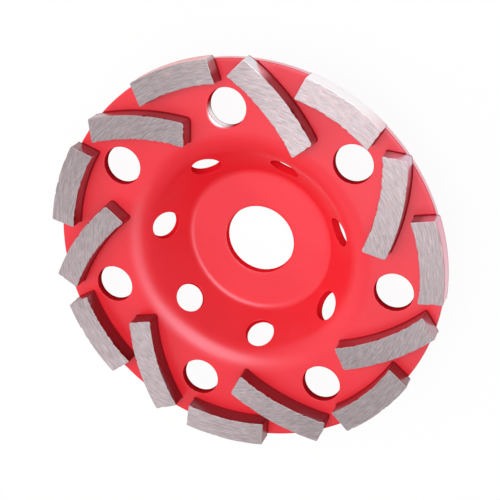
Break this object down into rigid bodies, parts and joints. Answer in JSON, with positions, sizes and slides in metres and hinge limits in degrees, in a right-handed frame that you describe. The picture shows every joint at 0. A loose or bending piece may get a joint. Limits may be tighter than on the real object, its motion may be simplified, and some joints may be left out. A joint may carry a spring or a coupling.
{
  "type": "diamond cup wheel",
  "caption": "Shallow pressed steel cup with a flat perforated rim that carries curved abrasive segments, some along its edge and some leaning inwards, for grinding concrete or stone.",
  "frame": {"origin": "on the wheel's axis, in the plane of the hub's back face, which it lies on", "axes": "+Z along the wheel's axis towards the grinding side, +X through the centre of a rim hole"},
  "size_m": [0.1249, 0.1248, 0.0223],
  "materials": {
    "red_paint": "semi-gloss red spray paint over pressed steel",
    "ground_segment": "bare metal-bonded abrasive with fine grinding scratches on top, red paint on its sides"
  },
  "bodies": {
    "root": {"cup_body": "red_paint", "rim_segment_1": "ground_segment", "rim_segment_2": "ground_segment", "rim_segment_3": "ground_segment", "rim_segment_4": "ground_segment", "rim_segment_5": "ground_segment", "rim_segment_6": "ground_segment", "rim_segment_7": "ground_segment", "leaning_segment_1": "ground_segment", "leaning_segment_2": "ground_segment", "leaning_segment_3": "ground_segment", "leaning_segment_4": "ground_segment", "leaning_segment_5": "ground_segment", "leaning_segment_6": "ground_segment", "leaning_segment_7": "ground_segment"}
  },
  "joints": []
}
